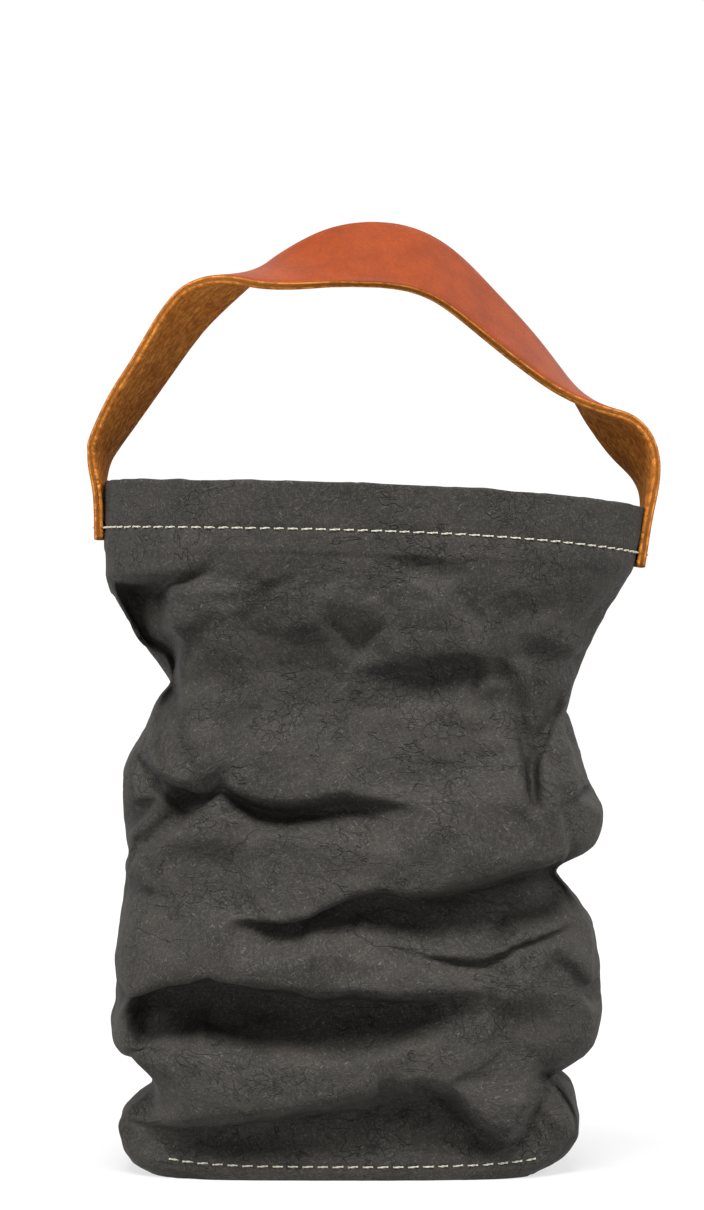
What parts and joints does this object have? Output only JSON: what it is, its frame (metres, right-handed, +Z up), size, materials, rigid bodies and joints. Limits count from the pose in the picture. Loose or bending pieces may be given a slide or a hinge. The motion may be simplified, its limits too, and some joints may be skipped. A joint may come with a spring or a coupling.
{
  "type": "wine gift bag",
  "caption": "Tall washable-paper bag for one wine bottle, scrunched into soft tiers, with a sewn flat base and a leather strap handle sewn to its two sides.",
  "frame": {"origin": "middle of the base's underside, on the surface that the bag stands on", "axes": "+Z up out of the mouth, +X to the viewer's right along the wide side, -Y the front face"},
  "size_m": [0.157, 0.0944, 0.2597],
  "materials": {
    "paper": "matt, crinkled",
    "leather": "smooth grain outside, suede inside",
    "thread": "matt sewing thread"
  },
  "bodies": {
    "base": {"front_panel": "paper", "back_panel": "paper", "base_panel": "paper", "front_base_stitching": "thread", "back_base_stitching": "thread", "left_base_stitching": "thread", "right_base_stitching": "thread", "left_seam_stitching": "thread", "right_seam_stitching": "thread"},
    "mouth": {"front_hem": "paper", "back_hem": "paper", "left_strap_end": "leather", "right_strap_end": "leather", "front_hem_stitching": "thread", "back_hem_stitching": "thread", "left_strap_stitching": "thread", "right_strap_stitching": "thread"},
    "handle": {"strap_arch": "leather"}
  },
  "joints": [
    {"name": "mouth_raise", "type": "slide", "parent": "base", "child": "mouth", "axis": [0, 0, 1], "range_m": [-0.03, 0.08], "deforming": ["front_panel", "back_panel", "left_seam_stitching", "right_seam_stitching"]},
    {"name": "handle_swing", "type": "hinge", "parent": "mouth", "child": "handle", "pos_m": [0.0065, 0, 0.201], "axis": [1, 0, 0], "range_deg": [-85, 45]}
  ]
}
